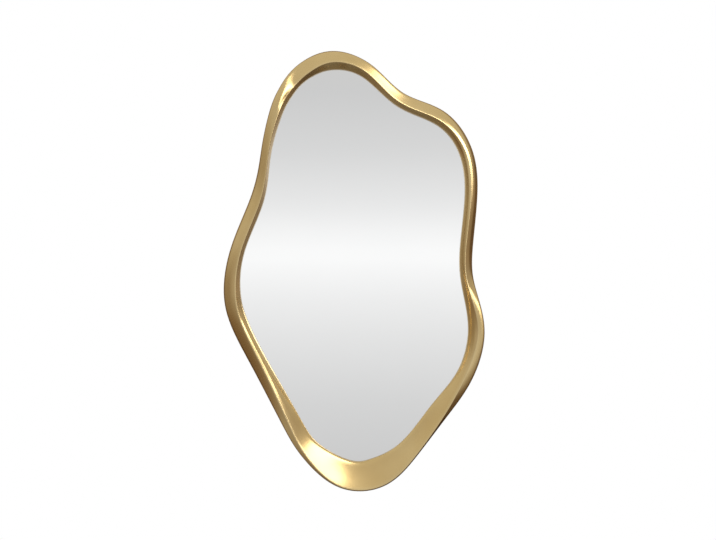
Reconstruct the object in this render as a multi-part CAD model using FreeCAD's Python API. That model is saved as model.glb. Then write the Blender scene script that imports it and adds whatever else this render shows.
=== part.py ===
import FreeCAD, Part
import math
import os

from FreeCAD import Vector

# Wall mirror with a free-form, sculpted metal frame.
# Millimetres. +Z is up, the glass faces -Y and the wall is the plane y = 0.
# The origin lies on the wall, midway between the two hooks the mirror hangs on.

os.makedirs("parts", exist_ok=True)

# ---------------------------------------------------------------- the outline
MIRROR_WIDTH = 593.0
MIRROR_HEIGHT = 1000.0
DRAWN_WIDTH = 593.0        # size at which the outline below is drawn
DRAWN_HEIGHT = 1000.0

# One row for each section through the frame, going clockwise from the top as
# the mirror is looked at. x and z are measured from the middle of the mirror.
#   x, z          point on the outer edge
#   width         width of the frame there, square to the edge
#   edge_height   how far the outer edge stands above the back of the frame
#   crest_height  how far the crest stands above the back of the frame
#   crest_share   where the crest runs: 0 at the outer edge, 1 at the glass
#   outer_bulge   swelling of the face outside the crest
#   inner_bulge   swelling of the face between the crest and the glass
SECTIONS = [
    (42, 466, 33, 31.5, 37, 0.68, 0.0, 0.0),
    (114, 403, 32, 30, 37, 0.76, 0.0, 1.5),
    (205, 363, 35, 24, 37, 0.72, 1.5, 3.0),
    (269, 277, 31, 22, 35, 0.58, 4.0, 4.0),
    (281, 163, 29, 20, 34.5, 0.56, 4.0, 4.0),
    (270, 35, 29.5, 18, 35, 0.60, 3.0, 2.5),
    (278, -45, 30, 31, 38, 0.56, 1.0, 1.5),
    (296, -140, 36, 39, 38, 0.42, 2.0, 3.0),
    (268, -247, 37, 34, 36.5, 0.50, 1.0, 1.5),
    (211, -332, 43, 30, 37, 0.18, 0.0, -1.0),
    (144, -419, 46, 33, 37, 0.07, 0.0, -2.0),
    (69, -488, 66, 34, 37, 0.05, 0.0, -1.0),
    (-35, -491, 64, 34, 37, 0.06, 0.0, -1.0),
    (-117, -423, 46, 34, 37, 0.20, 0.0, 0.0),
    (-163, -350, 42, 32, 37, 0.38, 0.0, 1.0),
    (-227, -230, 38.5, 22, 37, 0.58, 1.0, 5.5),
    (-278, -131, 39.5, 21, 37, 0.66, 1.0, 5.0),
    (-297, -47, 38, 21, 37, 0.77, 1.5, 2.0),
    (-280, 55, 32.5, 21, 37, 0.82, 1.5, 0.0),
    (-238, 161, 31.5, 23, 39, 0.83, 1.5, 0.0),
    (-217, 237, 24, 27, 40.5, 0.84, 1.0, 0.0),
    (-207, 298, 24, 30.5, 41, 0.82, 0.5, 0.0),
    (-190, 368, 29, 33.5, 39, 0.80, 3.0, 1.0),
    (-171, 412, 32.5, 35, 33, 0.82, 3.2, 1.0),
    (-147, 449, 36.5, 30, 31, 0.82, -1.0, 0.0),
    (-107, 483, 41, 22.5, 33, 0.76, 0.5, 0.0),
    (-41, 500, 41.5, 25, 35.5, 0.66, 1.0, 0.0),
]

# ------------------------------------------------------------ frame sizes
LIP_HEIGHT = 20.0          # inner lip above the back of the frame
EDGE_ROLL = 4.0            # rounding of the outer edge
LIP_ROLL = 3.0             # rounding of the lip beside the glass
BACK_TUCK = 3.0            # the outer wall leans in by this much at the back
LEDGE_HEIGHT = 13.0        # seat of the glass above the back of the frame
REBATE_LAP = 7.0           # the rebate reaches this far behind the lip

# How far along each face its shaping lines run, from the crest or the edge.
OUTER_FACE_LINES = (0.25, 0.60, 0.84)
OUTER_BULGE_LINES = (0.8, 1.0, 0.3)
INNER_FACE_LINES = (0.17, 0.45, 0.80)
INNER_BULGE_LINES = (0.3, 1.0, 0.7)

# The frame's surfaces are parted at every third section, so none is too long.
SECTIONS_PER_FACE = 3

# ------------------------------------------------------------ glass and back
GASKET_THICKNESS = 1.0
GLASS_THICKNESS = 4.0
CUSHION_THICKNESS = 2.0
BOARD_THICKNESS = 5.8
GLASS_EDGE_GAP = 2.0       # round the glass, to the wall of the rebate
BOARD_EDGE_GAP = 1.0       # round the backing board
GASKET_SETBACK = 2.0       # the gasket stays this far out of sight

# ------------------------------------------------------------ wall bumpers
BUMPER_THICKNESS = 6.0     # also the gap between the frame and the wall
BUMPER_RADIUS = 6.0
BUMPER_CHAMFER = 1.0
BUMPER_STATIONS = (25.6, 2.2, 9.0, 14.2)

# ------------------------------------------------------------ turn buttons
BUTTON_STATIONS = (1.0, 5.0, 7.6, 10.3, 13.0, 15.6, 18.2, 23.5)
BUTTON_REACH = 21.0        # from the pivot to the tip over the board
BUTTON_TAIL = 5.0          # from the pivot to the other end
BUTTON_WIDTH = 9.0
BUTTON_THICKNESS = 1.5
BUTTON_PIVOT_INSET = 6.0   # pivot to the wall of the rebate
PIVOT_RADIUS = 1.5
PIVOT_CLEARANCE = 0.08
PIVOT_HEAD_RADIUS = 3.2
PIVOT_HEAD_HEIGHT = 1.8
PIVOT_DEPTH = 9.0

# ------------------------------------------------------------ hangers
HOOK_HEIGHT = 236.0        # hooks above the middle of the mirror
LEFT_HANGER_SPAN = (18.5, 21.5)    # stretch of the frame the strap lies on
RIGHT_HANGER_SPAN = (2.4, 4.8)
STRAP_WIDTH = 12.0
STRAP_LENGTH = 34.0
STRAP_THICKNESS = 1.2
STRAP_HOLES = (10.0, 26.0)         # from the bar of the ring
STRAP_HOLE_RADIUS = 2.0
RING_WIRE_RADIUS = 1.25
RING_INNER_WIDTH = 15.0
RING_LEG = 6.5
EYE_CLEARANCE = 0.08
HANGER_SCREW_RADIUS = 1.7
HANGER_HEAD_RADIUS = 3.4
HANGER_HEAD_HEIGHT = 1.8
HANGER_SCREW_DEPTH = 12.0
DRIVE_WIDTH = 0.9          # cross slot in every screw head
DRIVE_LENGTH = 3.6
DRIVE_DEPTH = 0.9
PILOT_CLEARANCE = 0.05     # round each screw in its hole
TIP_ROOM = 1.0             # left under the tip of each screw
OVERRUN = 1.0              # a cutting shape runs past the face it opens

# ------------------------------------------------------------ dependent sizes
COUNT = len(SECTIONS)
BACK_Y = -BUMPER_THICKNESS
GASKET_BASE = LEDGE_HEIGHT - GASKET_THICKNESS
GLASS_BASE = GASKET_BASE - GLASS_THICKNESS
CUSHION_BASE = GLASS_BASE - CUSHION_THICKNESS
BOARD_BASE = CUSHION_BASE - BOARD_THICKNESS
EYE_INNER_RADIUS = RING_WIRE_RADIUS + EYE_CLEARANCE
EYE_OUTER_RADIUS = EYE_INNER_RADIUS + STRAP_THICKNESS
RING_SIDE = RING_INNER_WIDTH / 2 + RING_WIRE_RADIUS
HOOK_REACH = RING_LEG + RING_SIDE - RING_WIRE_RADIUS
WALL_WARD = Vector(0, 1, 0)


# ------------------------------------------------------------ smooth loops
def poles_through(points):
    """Poles of the closed cubic curve that passes through the points."""
    poles = list(points)
    for _ in range(60):
        poles = [
            (points[i] * 6 - poles[i - 1] - poles[(i + 1) % COUNT]) * 0.25
            for i in range(COUNT)
        ]
    return poles[-1:] + poles[:-1]


def closed_curve(poles):
    curve = Part.BSplineCurve()
    knots = [float(i) for i in range(COUNT + 1)]
    curve.buildFromPolesMultsKnots(poles, [1] * (COUNT + 1), knots, True, 3)
    return curve


def edge_points():
    """Points of the outer edge, on the wall plane."""
    across = MIRROR_WIDTH / DRAWN_WIDTH
    up = MIRROR_HEIGHT / DRAWN_HEIGHT
    return [Vector(section[0] * across, 0, section[1] * up) for section in SECTIONS]


def section_normals(points):
    """Direction square to the outer edge, pointing at the glass."""
    edge = closed_curve(poles_through(points))
    normals = []
    for i in range(COUNT):
        along = edge.tangent(float(i))[0]
        normals.append(Vector(along.z, 0, -along.x).normalize())
    return normals


EDGE = edge_points()
NORMALS = section_normals(EDGE)


def rail_poles(insets, heights):
    """Poles of a line round the frame, at these insets and heights."""
    points = []
    for edge, normal, inset, height in zip(EDGE, NORMALS, insets, heights):
        points.append(edge + normal * inset + WALL_WARD * (BACK_Y - height))
    return poles_through(points)


def flat_loop(lap, height):
    """Closed line that runs lap millimetres behind the lip of the frame."""
    insets = [section[2] - lap for section in SECTIONS]
    return rail_poles(insets, [height] * COUNT)


def wire_of(poles):
    """The closed line as edges, ready to bound a face."""
    curve = closed_curve(poles)
    starts = range(0, COUNT, SECTIONS_PER_FACE)
    return Part.Wire([curve.toShape(i, i + SECTIONS_PER_FACE) for i in starts])


def flat_band(outer, inner):
    """Flat face between two closed lines."""
    return Part.makeFace([wire_of(outer), wire_of(inner)], "Part::FaceMakerBullseye")


def plate(lap, base, thickness):
    """Sheet with the outline of the glass opening, enlarged by lap."""
    face = Part.Face(wire_of(flat_loop(lap, base)))
    return face.extrude(Vector(0, -thickness, 0))


def station(place, inset_of):
    """Point on the back of the frame and the direction towards the glass."""
    insets = [inset_of(section[2]) for section in SECTIONS]
    line = closed_curve(rail_poles(insets, [0] * COUNT))
    along = line.tangent(place)[0]
    inward = Vector(along.z, 0, -along.x).normalize()
    return line.value(place), inward


def land_middle(width):
    return (BACK_TUCK + width - REBATE_LAP) / 2


# ------------------------------------------------------------ frame
def between(a, b, share, lift):
    inset = a[0] + (b[0] - a[0]) * share
    height = a[1] + (b[1] - a[1]) * share + lift
    return (inset, height)


def section_line(section):
    """Shaping points of one section, from the outer edge to the lip."""
    width, edge_height, crest_height, share, outer_bulge, inner_bulge = section[2:]
    corner = (0.0, edge_height)
    crest = (width * share, crest_height)
    lip = (width, LIP_HEIGHT)
    line = [(0.0, edge_height - EDGE_ROLL), corner]
    for part, bulge in zip(OUTER_FACE_LINES, OUTER_BULGE_LINES):
        line.append(between(corner, crest, part, outer_bulge * bulge))
    line.append(crest)
    for part, bulge in zip(INNER_FACE_LINES, INNER_BULGE_LINES):
        line.append(between(crest, lip, part, inner_bulge * bulge))
    line.append(lip)
    line.append((width, LIP_HEIGHT - LIP_ROLL))
    return line


def skin(rails, degree):
    """Closed band of surface over the rails, as a list of faces."""
    knots = [float(i) for i in range(len(rails) - degree + 1)]
    mults = [degree + 1] + [1] * (len(knots) - 2) + [degree + 1]
    loop_knots = [float(i) for i in range(COUNT + 1)]
    grid = [[rail[i] for rail in rails] for i in range(COUNT)]
    surface = Part.BSplineSurface()
    surface.buildFromPolesMultsKnots(
        grid, [1] * (COUNT + 1), mults, loop_knots, knots, True, False, 3, degree
    )
    starts = range(0, COUNT, SECTIONS_PER_FACE)
    return [surface.toShape(i, i + SECTIONS_PER_FACE, 0, knots[-1]) for i in starts]


def frame_blank():
    lines = [section_line(section) for section in SECTIONS]
    rails = []
    for row in range(len(lines[0])):
        insets = [line[row][0] for line in lines]
        heights = [line[row][1] for line in lines]
        rails.append(rail_poles(insets, heights))
    back_outer = rail_poles([BACK_TUCK] * COUNT, [0] * COUNT)
    back_inner = flat_loop(REBATE_LAP, 0)
    ledge_outer = flat_loop(REBATE_LAP, LEDGE_HEIGHT)
    ledge_inner = flat_loop(0, LEDGE_HEIGHT)
    faces = skin(rails, 3)
    faces += skin([back_outer, rails[0]], 1)
    faces += skin([back_inner, ledge_outer], 1)
    faces += skin([ledge_inner, rails[-1]], 1)
    faces += flat_band(back_outer, back_inner).Faces
    faces += flat_band(ledge_outer, ledge_inner).Faces
    shell = Part.Shell(faces)
    shell.sewShape()
    solid = Part.Solid(Part.Shell(shell.Faces))
    if solid.Volume < 0:
        solid.reverse()
    return solid


def pilot_hole(point, radius, depth):
    """Blind hole for a screw, opening at the back of the frame."""
    mouth = point + WALL_WARD * OVERRUN
    length = OVERRUN + depth + TIP_ROOM
    return Part.makeCylinder(radius + PILOT_CLEARANCE, length, mouth, WALL_WARD * -1)


def make_frame(buttons, hangers):
    holes = [pilot_hole(spot[0], PIVOT_RADIUS, PIVOT_DEPTH) for spot in buttons]
    for hanger in hangers:
        for point in hanger_screw_points(hanger):
            holes.append(pilot_hole(point, HANGER_SCREW_RADIUS, HANGER_SCREW_DEPTH))
    return frame_blank().cut(Part.makeCompound(holes))


# ------------------------------------------------------------ glass and back
def make_gasket():
    outer = flat_loop(REBATE_LAP - GLASS_EDGE_GAP, GASKET_BASE)
    inner = flat_loop(GASKET_SETBACK, GASKET_BASE)
    return flat_band(outer, inner).extrude(Vector(0, -GASKET_THICKNESS, 0))


# ------------------------------------------------------------ small parts
def placed(shape, origin, x_way, z_way):
    """Set a part drawn flat on the floor onto the back of the frame."""
    y_way = z_way.cross(x_way)
    turn = FreeCAD.Rotation(x_way, y_way, z_way, "ZXY")
    moved = shape.copy()
    moved.Placement = FreeCAD.Placement(origin, turn)
    return moved


def rounded_bar(start, end, width, thickness):
    """Flat bar along x with half-round ends."""
    radius = width / 2
    middle = Part.makeBox(
        end - start - width, width, thickness, Vector(start + radius, -radius, 0)
    )
    near = Part.makeCylinder(radius, thickness, Vector(start + radius, 0, 0))
    far = Part.makeCylinder(radius, thickness, Vector(end - radius, 0, 0))
    return middle.fuse([near, far]).removeSplitter()


def make_button(spot):
    pivot, inward = spot
    bar = rounded_bar(-BUTTON_TAIL, BUTTON_REACH, BUTTON_WIDTH, BUTTON_THICKNESS)
    bore = Part.makeCylinder(PIVOT_RADIUS + PIVOT_CLEARANCE, BUTTON_THICKNESS)
    return placed(bar.cut(bore), pivot, inward, WALL_WARD)


def screw(radius, depth, head_radius, head_height, seat):
    """Pan-head screw standing on z = seat, with its shank below."""
    shank = Part.makeCylinder(radius, depth + seat, Vector(0, 0, -depth))
    head = Part.makeCylinder(head_radius, head_height, Vector(0, 0, seat))
    rim = [edge for edge in head.Edges if edge.BoundBox.ZMin > seat + head_height / 2]
    head = head.makeFillet(head_height * 0.55, rim[:1])
    top = seat + head_height - DRIVE_DEPTH
    along = Vector(-DRIVE_LENGTH / 2, -DRIVE_WIDTH / 2, top)
    across = Vector(-DRIVE_WIDTH / 2, -DRIVE_LENGTH / 2, top)
    slot = Part.makeBox(DRIVE_LENGTH, DRIVE_WIDTH, DRIVE_DEPTH + OVERRUN, along)
    cross = Part.makeBox(DRIVE_WIDTH, DRIVE_LENGTH, DRIVE_DEPTH + OVERRUN, across)
    return shank.fuse(head).cut(slot.fuse(cross))


def make_button_screws(buttons):
    pin = screw(
        PIVOT_RADIUS, PIVOT_DEPTH, PIVOT_HEAD_RADIUS, PIVOT_HEAD_HEIGHT, BUTTON_THICKNESS
    )
    return Part.makeCompound([placed(pin, spot[0], spot[1], WALL_WARD) for spot in buttons])


def make_bumper(place):
    point, inward = station(place, land_middle)
    disc = Part.makeCylinder(BUMPER_RADIUS, BUMPER_THICKNESS)
    rim = [edge for edge in disc.Edges if edge.BoundBox.ZMin > BUMPER_THICKNESS / 2]
    return placed(disc.makeChamfer(BUMPER_CHAMFER, rim[:1]), point, inward, WALL_WARD)


# ------------------------------------------------------------ hangers
def hanger_at(place):
    """Middle of the strap and its upward direction."""
    point, inward = station(place, land_middle)
    upward = Vector(-inward.z, 0, inward.x)
    if upward.z < 0:
        upward = upward * -1
    return point, upward


def hook_z(place):
    point, upward = hanger_at(place)
    return point.z + upward.z * (STRAP_LENGTH / 2 + HOOK_REACH)


def find_hanger(span):
    """Place on the frame where the ring's top comes to the hook height."""
    low, high = span
    rising = hook_z(high) > hook_z(low)
    for _ in range(40):
        middle = (low + high) / 2
        if (hook_z(middle) < HOOK_HEIGHT) == rising:
            low = middle
        else:
            high = middle
    point, upward = hanger_at(low)
    return point + upward * (STRAP_LENGTH / 2), upward


def hanger_screw_points(hanger):
    bar, upward = hanger
    return [bar - upward * distance for distance in STRAP_HOLES]


def set_on_frame(shape, hanger):
    """Parts of a hanger are drawn with y along the strap and z to the wall."""
    bar, upward = hanger
    return placed(shape, bar, upward.cross(WALL_WARD), WALL_WARD)


def make_strap(hanger):
    half = STRAP_WIDTH / 2
    flat = Part.makeBox(
        STRAP_WIDTH, STRAP_LENGTH - half, STRAP_THICKNESS, Vector(-half, half - STRAP_LENGTH, 0)
    )
    end = Part.makeCylinder(half, STRAP_THICKNESS, Vector(0, half - STRAP_LENGTH, 0))
    axis_start = Vector(-half, 0, EYE_OUTER_RADIUS)
    side = Vector(1, 0, 0)
    curl = Part.makeCylinder(EYE_OUTER_RADIUS, STRAP_WIDTH, axis_start, side)
    eye = Part.makeCylinder(EYE_INNER_RADIUS, STRAP_WIDTH, axis_start, side)
    strap = flat.fuse([end, curl]).cut(eye)
    for distance in STRAP_HOLES:
        hole = Part.makeCylinder(STRAP_HOLE_RADIUS, STRAP_THICKNESS, Vector(0, -distance, 0))
        strap = strap.cut(hole)
    return set_on_frame(strap.removeSplitter(), hanger)


def make_ring(hanger):
    """Wire bent to a D: a bar in the eye, two legs and a half-round top."""
    height = EYE_OUTER_RADIUS
    left = Vector(-RING_SIDE, 0, height)
    right = Vector(RING_SIDE, 0, height)
    bar = Part.makeCylinder(RING_WIRE_RADIUS, 2 * RING_SIDE, left, Vector(1, 0, 0))
    pieces = []
    for corner in (left, right):
        pieces.append(Part.makeSphere(RING_WIRE_RADIUS, corner))
        pieces.append(Part.makeCylinder(RING_WIRE_RADIUS, RING_LEG, corner, Vector(0, 1, 0)))
    top = Part.makeTorus(
        RING_SIDE, RING_WIRE_RADIUS, Vector(0, RING_LEG, height), Vector(0, 0, 1), 0, 360, 180
    )
    pieces.append(top)
    return set_on_frame(bar.fuse(pieces).removeSplitter(), hanger)


def make_hanger_screws(hangers):
    pin = screw(
        HANGER_SCREW_RADIUS,
        HANGER_SCREW_DEPTH,
        HANGER_HEAD_RADIUS,
        HANGER_HEAD_HEIGHT,
        STRAP_THICKNESS,
    )
    screws = []
    for hanger in hangers:
        for point in hanger_screw_points(hanger):
            screws.append(placed(pin, point, hanger[1].cross(WALL_WARD), WALL_WARD))
    return Part.makeCompound(screws)


# ------------------------------------------------------------ the assembly
def pivot_inset(width):
    return width - REBATE_LAP - BUTTON_PIVOT_INSET


buttons = [station(place, pivot_inset) for place in BUTTON_STATIONS]
hangers = [find_hanger(LEFT_HANGER_SPAN), find_hanger(RIGHT_HANGER_SPAN)]
hooks = [bar + upward * HOOK_REACH for bar, upward in hangers]
MIDDLE_OF_HOOKS = Vector((hooks[0].x + hooks[1].x) / 2, 0, HOOK_HEIGHT)

parts = {
    "frame": make_frame(buttons, hangers),
    "mirror_pane": plate(REBATE_LAP - GLASS_EDGE_GAP, GLASS_BASE, GLASS_THICKNESS),
    "pane_gasket": make_gasket(),
    "cushion_sheet": plate(REBATE_LAP - GLASS_EDGE_GAP, CUSHION_BASE, CUSHION_THICKNESS),
    "backing_board": plate(REBATE_LAP - BOARD_EDGE_GAP, BOARD_BASE, BOARD_THICKNESS),
    "turn_button_screws": make_button_screws(buttons),
    "hanger_strap_left": make_strap(hangers[0]),
    "hanger_strap_right": make_strap(hangers[1]),
    "hanger_ring_left": make_ring(hangers[0]),
    "hanger_ring_right": make_ring(hangers[1]),
    "hanger_screws": make_hanger_screws(hangers),
}
for number, spot in enumerate(buttons, 1):
    parts["turn_button_%d" % number] = make_button(spot)
for number, place in enumerate(BUMPER_STATIONS, 1):
    parts["wall_bumper_%d" % number] = make_bumper(place)

for name, shape in parts.items():
    moved = shape.copy()
    moved.translate(MIDDLE_OF_HOOKS * -1)
    moved.exportStep("parts/%s.step" % name)
    box = moved.BoundBox
    size = (name, box.XMin, box.XMax, box.YMin, box.YMax, box.ZMin, box.ZMax, moved.Volume)
    print("%-20s x %7.1f %7.1f  y %6.1f %6.1f  z %7.1f %7.1f  volume %10.0f" % size)

for number, (pivot, inward) in enumerate(buttons, 1):
    at = pivot - MIDDLE_OF_HOOKS
    print("button %d pivot %.3f %.3f %.3f" % (number, at.x, at.y, at.z))
for side, (bar, upward) in zip(("left", "right"), hangers):
    at = bar - MIDDLE_OF_HOOKS + WALL_WARD * EYE_OUTER_RADIUS
    way = upward.cross(WALL_WARD)
    hook = bar + upward * HOOK_REACH - MIDDLE_OF_HOOKS
    print("%s bar %.4f %.4f %.4f axis %.5f %.5f %.5f" % (side, at.x, at.y, at.z, *way))
    print("%s hook %.3f %.3f %.3f" % (side, hook.x, hook.y + EYE_OUTER_RADIUS, hook.z))
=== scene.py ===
# %% [markdown]
# # A free-form wall mirror with a sculpted brass frame
# This lesson dresses a finished, measured model of a tall wall mirror. The
# measured model gives every piece its size and its place. Here the frame gets
# its full sculpted surface, and every piece gets the finish of the real one.
# The first cell opens the measured model and reads its overall box.

# %% Open the measured mirror
import bpy
import math
import numpy as np
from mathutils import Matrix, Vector


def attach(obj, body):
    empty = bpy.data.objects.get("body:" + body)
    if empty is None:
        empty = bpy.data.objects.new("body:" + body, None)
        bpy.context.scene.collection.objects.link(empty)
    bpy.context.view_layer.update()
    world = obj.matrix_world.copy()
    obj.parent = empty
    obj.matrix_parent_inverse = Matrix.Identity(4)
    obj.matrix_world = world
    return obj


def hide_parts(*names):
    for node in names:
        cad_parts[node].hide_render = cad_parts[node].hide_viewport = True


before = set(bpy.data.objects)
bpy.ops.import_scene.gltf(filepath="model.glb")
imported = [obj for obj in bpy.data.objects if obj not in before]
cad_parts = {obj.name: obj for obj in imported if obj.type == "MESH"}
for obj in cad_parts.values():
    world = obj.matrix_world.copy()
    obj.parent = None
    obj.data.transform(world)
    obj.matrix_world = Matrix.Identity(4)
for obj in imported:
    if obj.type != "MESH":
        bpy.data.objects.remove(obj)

scene = bpy.context.scene
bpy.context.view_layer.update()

# %% [markdown]
# ## The camera
# The mirror is seen straight from the front, from about three metres away, so
# its outline is hardly distorted. The camera is made first, because everything
# that follows is judged through it. The width that the picture takes in at the
# mirror sets the focal length: a longer lens further away would look the same
# but would make the metal reflect a different part of the room.

# %% Stand the camera in front
PICTURE_WIDTH_PIXELS = 716
METRES_PER_PIXEL = 0.0022712
CAMERA_DISTANCE = 3.0
EDGE_PLANE = -0.033          # depth at which the outline is read
LOOK_AT = (-0.0216, -0.2343)

camera = bpy.data.objects.new("front_camera", bpy.data.cameras.new("front_camera"))
scene.collection.objects.link(camera)
camera.location = (LOOK_AT[0], EDGE_PLANE - CAMERA_DISTANCE, LOOK_AT[1])
camera.rotation_euler = (math.radians(90), 0, 0)
seen_width = PICTURE_WIDTH_PIXELS * METRES_PER_PIXEL
camera.data.lens = camera.data.sensor_width * CAMERA_DISTANCE / seen_width
scene.camera = camera
print("lens", round(camera.data.lens, 1), "mm over", round(seen_width, 3), "m")

# %% [markdown]
# ## The lines of the frame
# The real frame is a closed loop of cast metal whose section changes all the
# way round: a crest wanders between the outer edge and the glass. It could be
# sculpted by hand, but a hand-sculpted form is hard to keep true to measured
# sizes. Instead the loop is drawn by sections. Each row below is one section,
# and smooth curves carry every part of it on to the next. The places and the
# widths are measured along the two edges of the pictured frame. The heights,
# the crest and the swellings are judged from its light and shade.

# %% Sections round the frame, clockwise from the top, in millimetres
# x, z, width, edge height, crest height, crest share, outer bulge, inner bulge
SECTIONS = np.array([
    (42, 466, 33, 31.5, 37, 0.68, 0.0, 0.0),
    (114, 403, 32, 30, 37, 0.76, 0.0, 1.5),
    (205, 363, 35, 24, 37, 0.72, 1.5, 3.0),
    (269, 277, 31, 22, 35, 0.58, 4.0, 4.0),
    (281, 163, 29, 20, 34.5, 0.56, 4.0, 4.0),
    (270, 35, 29.5, 18, 35, 0.60, 3.0, 2.5),
    (278, -45, 30, 31, 38, 0.56, 1.0, 1.5),
    (296, -140, 36, 39, 38, 0.42, 2.0, 3.0),
    (268, -247, 37, 34, 36.5, 0.50, 1.0, 1.5),
    (211, -332, 43, 30, 37, 0.18, 0.0, -1.0),
    (144, -419, 46, 33, 37, 0.07, 0.0, -2.0),
    (69, -488, 66, 34, 37, 0.05, 0.0, -1.0),
    (-35, -491, 64, 34, 37, 0.06, 0.0, -1.0),
    (-117, -423, 46, 34, 37, 0.20, 0.0, 0.0),
    (-163, -350, 42, 32, 37, 0.38, 0.0, 1.0),
    (-227, -230, 38.5, 22, 37, 0.58, 1.0, 5.5),
    (-278, -131, 39.5, 21, 37, 0.66, 1.0, 5.0),
    (-297, -47, 38, 21, 37, 0.77, 1.5, 2.0),
    (-280, 55, 32.5, 21, 37, 0.82, 1.5, 0.0),
    (-238, 161, 31.5, 23, 39, 0.83, 1.5, 0.0),
    (-217, 237, 24, 27, 40.5, 0.84, 1.0, 0.0),
    (-207, 298, 24, 30.5, 41, 0.82, 0.5, 0.0),
    (-190, 368, 29, 33.5, 39, 0.80, 3.0, 1.0),
    (-171, 412, 32.5, 35, 33, 0.82, 3.2, 1.0),
    (-147, 449, 36.5, 30, 31, 0.82, -1.0, 0.0),
    (-107, 483, 41, 22.5, 33, 0.76, 0.5, 0.0),
    (-41, 500, 41.5, 25, 35.5, 0.66, 1.0, 0.0),
])
LIP_HEIGHT = 20.0
EDGE_ROLL = 4.0
LIP_ROLL = 3.0
BACK_TUCK = 3.0
LEDGE_HEIGHT = 13.0
MM_PER_METRE = 1000
REBATE_LAP = 7.0
WALL_GAP = 6.0
OUTER_FACE_LINES = (0.25, 0.60, 0.84)
OUTER_BULGE_LINES = (0.8, 1.0, 0.3)
INNER_FACE_LINES = (0.17, 0.45, 0.80)
INNER_BULGE_LINES = (0.3, 1.0, 0.7)
MIDDLE = np.array([-30.7143, 0.0, -236.0])   # of the outline, from the hooks

edge_points = SECTIONS[:, :2]
widths, edge_heights, crest_heights, crest_shares, outer_bulges, inner_bulges = SECTIONS.T[2:]
print(len(SECTIONS), "sections, widest", widths.max(), "mm")

# %% Smooth closed curves through the sections
SETTLING_ROUNDS = 60


def loop_poles(values):
    """Pull the poles out until their smooth curve passes through the values."""
    poles = values.copy()
    for _ in range(SETTLING_ROUNDS):
        poles = (6 * values - np.roll(poles, 1, 0) - np.roll(poles, -1, 0)) / 4
    return poles


def along_loop(poles, places):
    """Points of the smooth closed curve at these places, in sections."""
    first = np.floor(places).astype(int)
    t = (places - first)[:, None]
    weights = (
        (1 - t) ** 3,
        3 * t**3 - 6 * t**2 + 4,
        -3 * t**3 + 3 * t**2 + 3 * t + 1,
        t**3,
    )
    count = len(poles)
    total = sum(w * poles[(first + k - 1) % count] for k, w in enumerate(weights))
    return total / 6


STEP = 0.001
here = np.arange(len(SECTIONS), dtype=float)
edge_poles = loop_poles(edge_points)
heading = along_loop(edge_poles, here + STEP) - along_loop(edge_poles, here - STEP)
heading /= np.linalg.norm(heading, axis=1)[:, None]
inward = np.stack([heading[:, 1], -heading[:, 0]], axis=1)


def rail(insets, heights):
    """Poles of one line round the frame, this far in and this high."""
    flat = edge_points + inward * np.broadcast_to(insets, widths.shape)[:, None]
    depth = -(WALL_GAP + np.broadcast_to(heights, widths.shape))
    return loop_poles(np.stack([flat[:, 0], depth, flat[:, 1]], axis=1) + MIDDLE)


print("outline heads", [round(float(v), 2) for v in heading[0]], "at the top")

# %% [markdown]
# ## The sculpted skin
# Across the frame the section rises from a rolled outer edge to the crest and
# falls to a rolled lip at the glass. A subdivision surface could round this
# off, but it would shrink the crest. A spline surface over eleven lines is
# exact: the same few numbers place the crest, the hollows and the swellings.

# %% Lines across the section
corner = np.zeros_like(widths), edge_heights
crest = widths * crest_shares, crest_heights
lip = widths, np.full_like(widths, LIP_HEIGHT)


def between(start, end, share, lift):
    inset = start[0] + (end[0] - start[0]) * share
    height = start[1] + (end[1] - start[1]) * share + lift
    return inset, height


section_lines = [(corner[0], corner[1] - EDGE_ROLL), corner]
for share, bulge in zip(OUTER_FACE_LINES, OUTER_BULGE_LINES):
    section_lines.append(between(corner, crest, share, outer_bulges * bulge))
section_lines.append(crest)
for share, bulge in zip(INNER_FACE_LINES, INNER_BULGE_LINES):
    section_lines.append(between(crest, lip, share, inner_bulges * bulge))
section_lines += [lip, (lip[0], lip[1] - LIP_ROLL)]
skin_rails = np.array([rail(inset, height) for inset, height in section_lines])
print(len(section_lines), "lines across the section")

# %% Weights of the lines across the skin
JUST_INSIDE = 1e-9


def share_of(amount, size, blank):
    """Divide, and leave zero where a knot is doubled."""
    return np.divide(amount, size, where=size > 0, out=np.zeros_like(blank))


def clamped_weights(count, degree, places):
    """How much each line pulls on each place across the skin."""
    inner = np.arange(count - degree + 1, dtype=float)
    knots = np.concatenate([[0.0] * degree, inner, [inner[-1]] * degree])
    places = np.minimum(places, inner[-1] - JUST_INSIDE)[:, None]
    table = ((knots[:-1] <= places) & (places < knots[1:])).astype(float)
    for size in range(1, degree + 1):
        rise = knots[size:-1] - knots[: -size - 1]
        fall = knots[size + 1 :] - knots[1:-size]
        up = share_of(places - knots[: -size - 1], rise, table[:, :-1])
        down = share_of(knots[size + 1 :] - places, fall, table[:, :-1])
        table = up * table[:, :-1] + down * table[:, 1:]
    return table


STRIPS_PER_SECTION = 30
ROWS_ACROSS = 49
SKIN_DEGREE = 3
columns = np.arange(len(SECTIONS) * STRIPS_PER_SECTION) / STRIPS_PER_SECTION
spans = len(section_lines) - SKIN_DEGREE
spots_across = np.linspace(0, spans, ROWS_ACROSS)
weights = clamped_weights(len(section_lines), SKIN_DEGREE, spots_across)
rail_curves = np.array([along_loop(poles, columns) for poles in skin_rails])
skin_rows = np.einsum("vr,rup->vup", weights, rail_curves)
print("skin grid", skin_rows.shape[:2])

# %% [markdown]
# ## Closing the frame at the back
# Behind the skin the casting is plain: a lip wall, the ledge that the glass
# rests on, the rebate wall, a flat land for the fittings and an outer wall
# that leans in. These are more rows of the same grid, so the frame is one
# closed mesh without a seam. Edges that are crisp on the metal are marked
# sharp, and the rest is shaded smooth.

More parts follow.
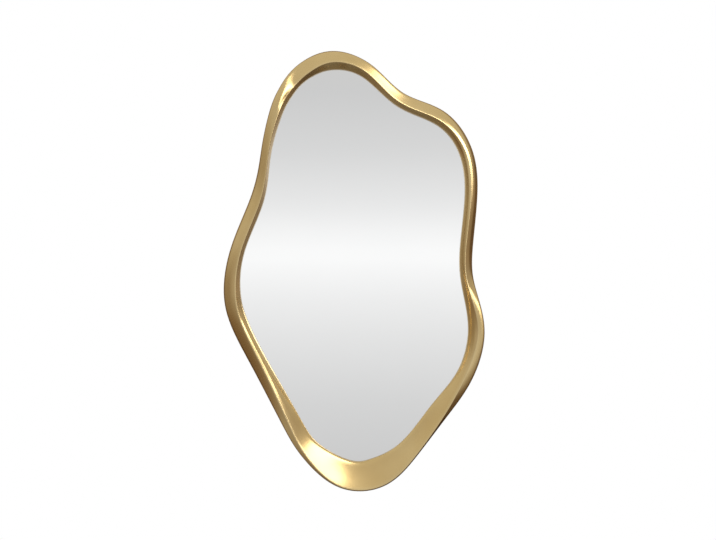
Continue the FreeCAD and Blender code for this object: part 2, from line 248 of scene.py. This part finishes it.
# %% Rows at the back and the finished mesh
BACK_CHAMFER = 0.8
TUCK_AT_CHAMFER = 0.95
rear_lines = [
    (widths, LEDGE_HEIGHT),
    (widths - REBATE_LAP, LEDGE_HEIGHT),
    (widths - REBATE_LAP, 0.0),
    (BACK_TUCK + BACK_CHAMFER, 0.0),
    (BACK_TUCK * TUCK_AT_CHAMFER, BACK_CHAMFER),
]
rear_rows = [along_loop(rail(inset, height), columns) for inset, height in rear_lines]
rows = np.concatenate([skin_rows, np.array(rear_rows)]) / MM_PER_METRE
row_count, column_count = rows.shape[:2]

grid = np.arange(row_count * column_count).reshape(row_count, column_count)
next_row = np.roll(grid, -1, 0)
quads = np.stack([grid, np.roll(grid, -1, 1), np.roll(next_row, -1, 1), next_row], axis=2)

frame_mesh = bpy.data.meshes.new("sculpted_frame")
frame_mesh.from_pydata(rows.reshape(-1, 3).tolist(), [], quads.reshape(-1, 4).tolist())
sculpted_frame = bpy.data.objects.new("sculpted_frame", frame_mesh)
scene.collection.objects.link(sculpted_frame)
frame_mesh.shade_smooth()

crisp_rows = {ROWS_ACROSS - 1 + k for k in range(len(rear_lines) + 1)}
ends = np.empty(len(frame_mesh.edges) * 2, dtype=int)
frame_mesh.edges.foreach_get("vertices", ends)
edge_rows = ends.reshape(-1, 2) // column_count
crisp = (edge_rows[:, 0] == edge_rows[:, 1]) & np.isin(edge_rows[:, 0], list(crisp_rows))
sharp = frame_mesh.attributes.new("sharp_edge", "BOOLEAN", "EDGE")
sharp.data.foreach_set("value", crisp)
print("frame mesh", len(frame_mesh.polygons), "faces,", int(crisp.sum()), "crisp edges")

# %% [markdown]
# ## Laying out the brushing
# The metal is brushed along the frame. For the shader that means knowing, at
# every point, how far along the loop and how far across the frame it lies. A
# flat unwrap would do this, but it needs a cut somewhere, and the brushing
# would break there. So a second coordinate bends the length round a circle,
# where the end meets the start. A third value marks the crest, where the brass
# is painted paler as a painted highlight.

# %% Length, distance across and crest marks
def face_corners(values):
    """Repeat one value per point for each corner of each face."""
    flat = values.reshape(-1, *values.shape[2:])
    return flat[quads.reshape(-1)]


steps_along = np.linalg.norm(np.roll(rows[0], -1, 0) - rows[0], axis=1)
length_along = np.concatenate([[0.0], np.cumsum(steps_along)])
loop_length = length_along[-1]
steps_across = np.linalg.norm(np.diff(rows, axis=0), axis=2)
across = np.concatenate([np.zeros((1, column_count)), np.cumsum(steps_across, axis=0)])

u_grid = np.broadcast_to(length_along[:-1], (row_count, column_count))
corner_u = face_corners(u_grid).reshape(-1, 4)
on_first_column = quads.reshape(-1, 4) % column_count == 0
far_along = corner_u.max(1, keepdims=True) > loop_length / 2
corner_u = np.where(on_first_column & far_along, loop_length, corner_u)
corner_v = face_corners(across)
corner_uv = np.stack([corner_u.reshape(-1), corner_v], axis=1).astype(np.float32)
unwrap = frame_mesh.uv_layers.new(name="brushing")
unwrap.data.foreach_set("uv", corner_uv.reshape(-1))

turn = 2 * math.pi * u_grid / loop_length
circle = loop_length / (2 * math.pi)
lay = np.stack([circle * np.cos(turn), circle * np.sin(turn), across], axis=2)
lay_data = frame_mesh.attributes.new("brush_lay", "FLOAT_VECTOR", "POINT")
lay_data.data.foreach_set("vector", lay.astype(np.float32).reshape(-1))

crest_track = along_loop(rail(crest[0], crest[1]), columns) / MM_PER_METRE
crest_away = np.linalg.norm((rows - crest_track)[:, :, ::2], axis=2)
# Nearness to the crest, where the brass is painted paler: a painted highlight.
CREST_SHEEN_WIDTH = 0.004
crest_sheen_paint = np.exp(-((crest_away / CREST_SHEEN_WIDTH) ** 2))
crest_sheen_data = frame_mesh.attributes.new("painted_crest_sheen", "FLOAT", "POINT")
crest_sheen_data.data.foreach_set("value", crest_sheen_paint.astype(np.float32).reshape(-1))
print("loop length", round(float(loop_length), 3), "m")

# %% Let the sculpted frame stand for the measured one
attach(sculpted_frame, "mirror_body")
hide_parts("frame")

# %% [markdown]
# ## Helpers for the finishes
# Every finish starts from the same shader, and gets a few nodes for its grain.
# Three short helpers keep the cells below readable: one starts a finish, one
# adds a node and sets its sockets, and one joins two nodes.

# %% Start a finish, add a node, join two nodes
def start_finish(name, colour, metallic, roughness, **sockets):
    finish = bpy.data.materials.new(name)
    finish.use_nodes = True
    shader = finish.node_tree.nodes["Principled BSDF"]
    shader.inputs["Base Color"].default_value = (*colour, 1)
    shader.inputs["Metallic"].default_value = metallic
    shader.inputs["Roughness"].default_value = roughness
    for socket, value in sockets.items():
        shader.inputs[socket.replace("_", " ")].default_value = value
    return finish, shader


def add_node(finish, kind, sockets=None, **settings):
    node = finish.node_tree.nodes.new(kind)
    for key, value in settings.items():
        setattr(node, key, value)
    for key, value in (sockets or {}).items():
        node.inputs[key].default_value = value
    return node


def join(finish, source, output, target, socket):
    finish.node_tree.links.new(source.outputs[output], target.inputs[socket])


def shades(finish, source, output, stops):
    """Turn a grey value into colours, given as (place, colour) pairs."""
    ramp = add_node(finish, "ShaderNodeValToRGB")
    for index, (place, colour) in enumerate(stops):
        if index < 2:
            stop = ramp.color_ramp.elements[index]
            stop.position = place
        else:
            stop = ramp.color_ramp.elements.new(place)
        stop.color = (*colour, 1)
    join(finish, source, output, ramp, "Fac")
    return ramp


def spread(finish, source, output, low, high, start=0.0, end=1.0):
    """Stretch a grey value to run from low to high."""
    mapped = add_node(
        finish,
        "ShaderNodeMapRange",
        {"From Min": start, "From Max": end, "To Min": low, "To Max": high},
    )
    join(finish, source, output, mapped, "Value")
    return mapped


print("finish helpers ready")

# %% [markdown]
# ## Brushed brass
# Brushed brass is thousands of fine scratches side by side, under a thin
# lacquer that has gone a little uneven. The scratches stretch a highlight
# across their own direction, which the shader's anisotropy gives. A very long,
# thin noise gives the single hairlines. A broad soft one varies the colour as
# the uneven lacquer does. The crest is painted paler: a painted highlight.

# %% Brass for the frame
BRASS = (0.67, 0.505, 0.25)
BRASS_DEEP = (0.61, 0.445, 0.205)
# Paler brass painted along the crest, and how much of it: a painted highlight.
BRASS_PAINTED_SHEEN = (0.75, 0.60, 0.34)
CREST_PAINTED_SHEEN = 0.45
HAIRLINE_GLOSS = (0.17, 0.25)
HAIRLINE_RELIEF = {"Strength": 0.025, "Distance": 0.0002}
CASTING_RELIEF = {"Strength": 0.10, "Distance": 0.0006}
HAIRLINES_PER_METRE = (9, 9, 2600)   # along the brushing twice, then across it
MIX_SHARE = 0                        # places of the colour sockets on a mix node
MIX_UNDER = 6
MIX_OVER = 7
MIXED = 2

brass, brass_shader = start_finish("brushed_brass", BRASS, 1.0, 0.2, Anisotropic=0.45)
grain_lay = add_node(brass, "ShaderNodeAttribute", attribute_name="brush_lay")
stretch = add_node(brass, "ShaderNodeVectorMath", {1: HAIRLINES_PER_METRE}, operation="MULTIPLY")
join(brass, grain_lay, "Vector", stretch, 0)
fine_grain = {"Scale": 1.0, "Detail": 3.0, "Roughness": 0.6}
hairlines = add_node(brass, "ShaderNodeTexNoise", fine_grain)
join(brass, stretch, "Vector", hairlines, "Vector")

place = add_node(brass, "ShaderNodeTexCoord")
broad_patches = {"Scale": 7.0, "Detail": 4.0, "Roughness": 0.55}
cloud = add_node(brass, "ShaderNodeTexNoise", broad_patches)
join(brass, place, "Object", cloud, "Vector")
crest_sheen_mark = add_node(brass, "ShaderNodeAttribute", attribute_name="painted_crest_sheen")

lacquer = shades(brass, cloud, "Fac", [(0.35, BRASS_DEEP), (0.65, BRASS)])
# The crest is painted paler here: a painted highlight.
painted_sheen_mix = add_node(brass, "ShaderNodeMix", {MIX_OVER: (*BRASS_PAINTED_SHEEN, 1)}, data_type="RGBA")
painted_sheen_amount = spread(brass, crest_sheen_mark, "Fac", 0.0, CREST_PAINTED_SHEEN)
join(brass, painted_sheen_amount, "Result", painted_sheen_mix, MIX_SHARE)
join(brass, lacquer, "Color", painted_sheen_mix, MIX_UNDER)
join(brass, painted_sheen_mix, MIXED, brass_shader, "Base Color")

scratch_gloss = spread(brass, hairlines, "Fac", *HAIRLINE_GLOSS)
join(brass, scratch_gloss, "Result", brass_shader, "Roughness")

scratch_relief = add_node(brass, "ShaderNodeBump", HAIRLINE_RELIEF)
join(brass, hairlines, "Fac", scratch_relief, "Height")
cast_relief = add_node(brass, "ShaderNodeBump", CASTING_RELIEF)
join(brass, cloud, "Fac", cast_relief, "Height")
join(brass, scratch_relief, "Normal", cast_relief, "Normal")
join(brass, cast_relief, "Normal", brass_shader, "Normal")

brush_direction = add_node(brass, "ShaderNodeTangent", direction_type="UV_MAP", uv_map="brushing")
join(brass, brush_direction, "Tangent", brass_shader, "Tangent")
frame_mesh.materials.append(brass)
print("brass on", sculpted_frame.name)

# %% [markdown]
# ## Silvered glass
# The pane is clear glass with silver on its back. Modelled exactly, light
# would pass the glass, meet the silver and come out again, which is slow and
# adds nothing to see. So the whole pane is one bright, polished metal. A faint,
# broad noise keeps the gloss from being perfect, as on glass that has been
# wiped.

# %% Glass for the pane
GLASS = (0.965, 0.97, 0.97)
GLASS_WIPED = (0.955, 0.96, 0.96)
GLASS_CLEAR = (0.97, 0.973, 0.973)
GLASS_GLOSS = (0.01, 0.03)

silvered, silvered_shader = start_finish("silvered_glass", GLASS, 1.0, 0.015)
wipe = add_node(silvered, "ShaderNodeTexCoord")
wiping = {"Scale": 5.0, "Detail": 5.0, "Roughness": 0.6}
wipe_marks = add_node(silvered, "ShaderNodeTexNoise", wiping)
join(silvered, wipe, "Object", wipe_marks, "Vector")
wipe_gloss = spread(silvered, wipe_marks, "Fac", *GLASS_GLOSS)
join(silvered, wipe_gloss, "Result", silvered_shader, "Roughness")
glass_tone = shades(silvered, wipe_marks, "Fac", [(0.2, GLASS_WIPED), (0.8, GLASS_CLEAR)])
join(silvered, glass_tone, "Color", silvered_shader, "Base Color")


def dress(node_name, finish):
    """Give a measured piece its finish."""
    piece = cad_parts[node_name]
    piece.data.materials.clear()
    piece.data.materials.append(finish)


dress("mirror_pane", silvered)
print("glass dressed")

# %% [markdown]
# ## The pieces behind the glass
# A rubber strip, a felt sheet and a fibre board fill the rebate. Only the
# board's back is seen, and only from behind: it is pressed wood fibre, brown
# and speckled. The felt and the rubber are dressed too, since they show when
# the board comes out.

# %% Fibre board, felt and rubber
GLOSS_CHANGE = 0.08


def speckled(name, dark, light, scale, roughness, bump, **sockets):
    """A matt finish with two tones and a fine grain."""
    finish, shader = start_finish(name, light, 0.0, roughness, **sockets)
    spot = add_node(finish, "ShaderNodeTexCoord")
    grain_look = {"Scale": scale, "Detail": 6.0, "Roughness": 0.65}
    grain = add_node(finish, "ShaderNodeTexNoise", grain_look)
    join(finish, spot, "Object", grain, "Vector")
    tone = shades(finish, grain, "Fac", [(0.32, dark), (0.68, light)])
    join(finish, tone, "Color", shader, "Base Color")
    rougher = min(1.0, roughness + GLOSS_CHANGE)
    gloss = spread(finish, grain, "Fac", roughness - GLOSS_CHANGE, rougher)
    join(finish, gloss, "Result", shader, "Roughness")
    relief = add_node(finish, "ShaderNodeBump", {"Strength": bump, "Distance": 0.0005})
    join(finish, grain, "Fac", relief, "Height")
    join(finish, relief, "Normal", shader, "Normal")
    return finish


def grey(value):
    return value, value, value


FIBRE_DARK = (0.20, 0.115, 0.06)
FIBRE_LIGHT = (0.36, 0.235, 0.135)
fibre_board = speckled(
    "fibre_board", FIBRE_DARK, FIBRE_LIGHT, scale=160.0, roughness=0.8, bump=0.4
)
grey_felt = speckled(
    "grey_felt", grey(0.20), grey(0.34), scale=420.0, roughness=0.92, bump=0.6
)
black_rubber = speckled(
    "black_rubber", grey(0.012), grey(0.03), scale=260.0, roughness=0.6, bump=0.2
)
dress("backing_board", fibre_board)
dress("cushion_sheet", grey_felt)
dress("pane_gasket", black_rubber)
bumpers = [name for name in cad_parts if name.startswith("wall_bumper")]
for name in bumpers:
    dress(name, black_rubber)
print(len(bumpers), "bumpers dressed")

# %% [markdown]
# ## Plated steel fittings
# The turn buttons and straps are stamped from sheet and the rings are bent
# from wire, all with a bright zinc coat. Zinc has a soft, slightly blue shine
# that is mottled rather than brushed. The screws are the same metal, but the
# driver has rubbed them a little brighter.

# %% Zinc for the buttons, straps, rings and screws
def zinc_coat(name, dark, light, low_gloss, high_gloss):
    finish, shader = start_finish(name, light, 1.0, low_gloss)
    spot = add_node(finish, "ShaderNodeTexCoord")
    mottling = {"Scale": 300.0, "Detail": 4.0, "Roughness": 0.6}
    mottle = add_node(finish, "ShaderNodeTexNoise", mottling)
    join(finish, spot, "Object", mottle, "Vector")
    rubbed = add_node(finish, "ShaderNodeTexNoise", {"Scale": 1400.0, "Detail": 2.0})
    join(finish, spot, "Object", rubbed, "Vector")
    tone = shades(finish, mottle, "Fac", [(0.3, dark), (0.7, light)])
    join(finish, tone, "Color", shader, "Base Color")
    gloss = spread(finish, mottle, "Fac", low_gloss, high_gloss, start=0.3, end=0.7)
    join(finish, gloss, "Result", shader, "Roughness")
    relief = add_node(finish, "ShaderNodeBump", {"Strength": 0.15, "Distance": 0.0001})
    join(finish, rubbed, "Fac", relief, "Height")
    join(finish, relief, "Normal", shader, "Normal")
    return finish


# name, dark tone, light tone, lowest and highest roughness
stamped_zinc = zinc_coat("stamped_zinc", (0.48, 0.49, 0.51), (0.66, 0.67, 0.69), 0.28, 0.42)
wire_zinc = zinc_coat("wire_zinc", (0.52, 0.53, 0.55), (0.72, 0.73, 0.75), 0.2, 0.32)
screw_zinc = zinc_coat("screw_zinc", (0.55, 0.55, 0.56), (0.78, 0.78, 0.79), 0.18, 0.3)
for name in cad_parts:
    if name == "turn_button_screws" or name == "hanger_screws":
        dress(name, screw_zinc)
    elif name.startswith("turn_button") or name.startswith("hanger_strap"):
        dress(name, stamped_zinc)
    elif name.startswith("hanger_ring"):
        dress(name, wire_zinc)
print("fittings dressed")

# %% [markdown]
# ## Floor and surround
# The mirror hangs in a plain, bright studio. Metal and glass show what stands
# round them, so the surround matters as much as the lamp. Real screens would
# do, but each would have to be built and kept out of the picture. A background
# that changes with direction does the same with a few values. It is white at
# eye level behind the camera, and behind the mirror. It is greyer just above
# and below, pale higher up, and a dark warm brown near the ground and to the
# left. Two screens darken it to the right and beside the mirror. Only metal and
# glass see these tones: the camera sees plain white, and the light on matt
# pieces is even. The floor is left out of reflections, so the tones near the
# ground show in its place.

# %% Pale round floor
FLOOR_HEIGHT = -1.75
FLOOR_RADIUS = 3.4
FLOOR_SIDES = 96
floor_points = [
    (
        FLOOR_RADIUS * math.cos(2 * math.pi * k / FLOOR_SIDES),
        FLOOR_RADIUS * math.sin(2 * math.pi * k / FLOOR_SIDES),
        FLOOR_HEIGHT,
    )
    for k in range(FLOOR_SIDES)
]
floor_mesh = bpy.data.meshes.new("studio_floor")
floor_mesh.from_pydata(floor_points, [], [tuple(range(FLOOR_SIDES))])
studio_floor = bpy.data.objects.new("studio_floor", floor_mesh)
scene.collection.objects.link(studio_floor)
pale_floor = speckled("pale_floor", grey(0.80), grey(0.84), scale=3.0, roughness=0.7, bump=0.0)
floor_mesh.materials.append(pale_floor)
studio_floor.visible_glossy = False
print("floor at", FLOOR_HEIGHT, "m")

# %% Tones from the ground up
surround = bpy.data.worlds.new("studio_surround")
scene.world = surround
surround.use_nodes = True
surround.node_tree.nodes.clear()
ray_way = add_node(surround, "ShaderNodeTexCoord")
way_parts = add_node(surround, "ShaderNodeSeparateXYZ")
join(surround, ray_way, "Generated", way_parts, "Vector")
height_share = spread(surround, way_parts, "Z", 0.0, 1.0, start=-1.0, end=1.0)

AHEAD_TONES = [
    (-1.0, (0.27, 0.25, 0.22)),
    (-0.78, (0.235, 0.20, 0.165)),
    (-0.55, (0.32, 0.275, 0.225)),
    (-0.34, (0.46, 0.42, 0.37)),
    (-0.2, (0.55, 0.53, 0.50)),
    (-0.135, grey(0.63)),
    (-0.1, grey(0.68)),
    (-0.05, grey(0.80)),
    (-0.022, grey(0.88)),
    (0.011, grey(1.0)),
    (0.03, grey(0.93)),
    (0.05, grey(0.83)),
    (0.09, grey(0.70)),
    (0.135, grey(0.62)),
    (0.2, (0.66, 0.64, 0.60)),
]
LEFT_TONES = [
    (-1.0, (0.26, 0.19, 0.13)),
    (-0.7, (0.19, 0.125, 0.075)),
    (-0.32, (0.27, 0.185, 0.12)),
    (-0.2, (0.40, 0.34, 0.27)),
    (-0.1, (0.39, 0.33, 0.26)),
    (0.0, (0.39, 0.33, 0.26)),
    (0.12, (0.46, 0.40, 0.32)),
    (0.25, (0.66, 0.63, 0.58)),
]
SKY_TONES = [
    (0.4, (0.79, 0.775, 0.72)),
    (0.6, (0.78, 0.765, 0.71)),
    (1.0, (0.85, 0.84, 0.80)),
]


def rising(tones):
    """Tones by height, from straight down at -1 to straight up at 1."""
    stops = [((height + 1) / 2, tone) for height, tone in tones]
    return shades(surround, height_share, "Result", stops)


ahead_tones = rising(AHEAD_TONES + SKY_TONES)
left_tones = rising(LEFT_TONES + SKY_TONES)
print(len(AHEAD_TONES), "tones ahead,", len(LEFT_TONES), "to the left")

# %% Tones to the left, screens to the right and beside, white behind
def product(first, second):
    times = add_node(surround, "ShaderNodeMath", operation="MULTIPLY")
    join(surround, first, "Result", times, 0)
    join(surround, second, "Result", times, 1)
    return times


def blended(under, output, share, share_output, colour, blend):
    """Lay one colour over the tones where the share says so."""
    over = {MIX_OVER: (*colour, 1)}
    mix = add_node(surround, "ShaderNodeMix", over, data_type="RGBA", blend_type=blend)
    join(surround, share, share_output, mix, MIX_SHARE)
    join(surround, under, output, mix, MIX_UNDER)
    return mix


RIGHT_SCREEN = (0.50, 0.41, 0.34)
SIDE_SCREEN = (0.42, 0.34, 0.26)
left_share = spread(surround, way_parts, "X", 0.0, 1.0, start=-0.6, end=-0.9)
right_share = spread(surround, way_parts, "X", 0.0, 1.0, start=0.25, end=0.6)
low_share = spread(surround, way_parts, "Z", 1.0, 0.0, start=0.0, end=0.5)
beside_share = spread(surround, way_parts, "Y", 0.0, 1.0, start=-0.1, end=0.2)
behind_share = spread(surround, way_parts, "Y", 0.0, 1.0, start=0.85, end=0.9)
screen_share = product(right_share, low_share)
with_left = add_node(surround, "ShaderNodeMix", data_type="RGBA")
join(surround, left_share, "Result", with_left, MIX_SHARE)
join(surround, ahead_tones, "Color", with_left, MIX_UNDER)
join(surround, left_tones, "Color", with_left, MIX_OVER)
with_right = blended(with_left, MIXED, screen_share, "Value", RIGHT_SCREEN, "MULTIPLY")
with_side = blended(with_right, MIXED, beside_share, "Result", SIDE_SCREEN, "MULTIPLY")
with_back = blended(with_side, MIXED, behind_share, "Result", grey(1.0), "MIX")
print("screens placed")

# %% What each kind of ray meets
WHITE = (1, 1, 1, 1)
ROOM_LIGHT = 0.75

seen_in_metal = add_node(surround, "ShaderNodeBackground", {"Strength": 1.0})
join(surround, with_back, MIXED, seen_in_metal, "Color")
even_light = {"Color": WHITE, "Strength": ROOM_LIGHT}
plain_light = add_node(surround, "ShaderNodeBackground", even_light)
seen_white = add_node(surround, "ShaderNodeBackground", {"Color": WHITE, "Strength": 1.0})
ray_kind = add_node(surround, "ShaderNodeLightPath")
mirrored = add_node(surround, "ShaderNodeMath", operation="MAXIMUM")
join(surround, ray_kind, "Is Glossy Ray", mirrored, 0)
join(surround, ray_kind, "Is Transmission Ray", mirrored, 1)
mirrored_or_plain = add_node(surround, "ShaderNodeMixShader")
join(surround, mirrored, "Value", mirrored_or_plain, "Fac")
join(surround, plain_light, "Background", mirrored_or_plain, 1)
join(surround, seen_in_metal, "Background", mirrored_or_plain, 2)
camera_or_light = add_node(surround, "ShaderNodeMixShader")
join(surround, ray_kind, "Is Camera Ray", camera_or_light, "Fac")
join(surround, mirrored_or_plain, "Shader", camera_or_light, 1)
join(surround, seen_white, "Background", camera_or_light, 2)
surround_out = add_node(surround, "ShaderNodeOutputWorld")
join(surround, camera_or_light, "Shader", surround_out, "Surface")
scene.view_settings.view_transform = "Standard"
print("surround ready")

# %% [markdown]
# ## The lamp
# One large soft lamp stands up and to the right of the camera. Where a face of
# the frame leans towards it, the brass shows the whole lamp as a white patch,
# so the place and the size of the lamp decide where each patch starts and
# ends: at the foot, along the upper right and in the fold at the upper left.

# %% Soft lamp
MIRROR_MIDDLE = Vector((-0.031, -0.03, -0.236))
LAMP_COLOUR = (1.0, 0.975, 0.92)


def soft_lamp(name, right, up, distance, half_width, half_height, power):
    """A lamp seen from the mirror: angles in degrees, distance in metres, power in watts."""
    azimuth, elevation = math.radians(right), math.radians(up)
    level = math.cos(elevation)
    way = Vector((math.sin(azimuth) * level, -math.cos(azimuth) * level, math.sin(elevation)))
    lamp = bpy.data.lights.new(name, "AREA")
    lamp.shape = "RECTANGLE"
    lamp.size = 2 * distance * math.tan(math.radians(half_width))
    lamp.size_y = 2 * distance * math.tan(math.radians(half_height))
    lamp.color = LAMP_COLOUR
    lamp.energy = power
    holder = bpy.data.objects.new(name, lamp)
    scene.collection.objects.link(holder)
    holder.location = MIRROR_MIDDLE + way * distance
    holder.rotation_mode = "QUATERNION"
    holder.rotation_quaternion = way.to_track_quat("Z", "Y")
    holder.visible_camera = False
    return holder


key_lamp = soft_lamp(
    "upper_right_lamp",
    right=27,
    up=21.5,
    distance=4.0,
    half_width=14,
    half_height=11.5,
    power=46,
)
print("lamp at", [round(v, 2) for v in key_lamp.location])
